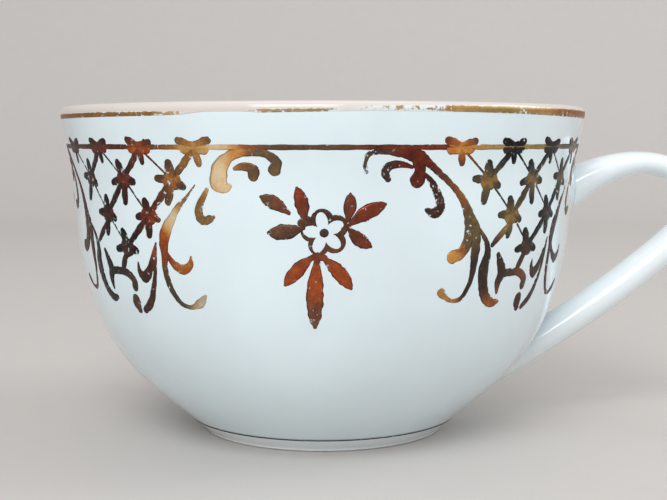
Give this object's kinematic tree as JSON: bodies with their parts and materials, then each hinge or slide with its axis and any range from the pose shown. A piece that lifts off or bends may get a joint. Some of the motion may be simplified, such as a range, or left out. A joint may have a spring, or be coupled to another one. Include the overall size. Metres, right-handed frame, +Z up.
{
  "type": "coffee cup",
  "caption": "Low rounded porcelain coffee cup on a foot ring, with an ear-shaped handle luted to the wall and worn gold trellis, scrolls and flower sprays under the rim.",
  "frame": {"origin": "centre of the ring-shaped standing face under the foot, on the cup's axis", "axes": "+Z up along the cup's axis; +X towards the handle; -Y towards the front, which faces a viewer who has the handle on the right"},
  "size_m": [0.1085, 0.0862, 0.0535],
  "materials": {
    "glazed_porcelain": "cool white porcelain under a clear, glossy glaze, bare on the standing face",
    "luting_slip": "white porcelain slip at the handle's roots, smoothed and glazed over",
    "fired_gold": "thin fired gold, worn to red-brown and ochre, satin"
  },
  "bodies": {
    "root": {"bowl": "glazed_porcelain", "foot_ring": "glazed_porcelain", "handle": "glazed_porcelain", "handle_upper_slip": "luting_slip", "handle_lower_slip": "luting_slip", "rim_gilding": "fired_gold", "border_line": "fired_gold", "foot_line": "fired_gold", "front_left_trellis": "fired_gold", "front_left_scrolls_left": "fired_gold", "front_left_scrolls_right": "fired_gold", "front_right_trellis": "fired_gold", "front_right_scrolls_left": "fired_gold", "front_right_scrolls_right": "fired_gold", "back_right_trellis": "fired_gold", "back_right_scrolls_left": "fired_gold", "back_right_scrolls_right": "fired_gold", "back_left_trellis": "fired_gold", "back_left_scrolls_left": "fired_gold", "back_left_scrolls_right": "fired_gold", "front_spray": "fired_gold", "back_spray": "fired_gold", "left_spray": "fired_gold"}
  },
  "joints": []
}
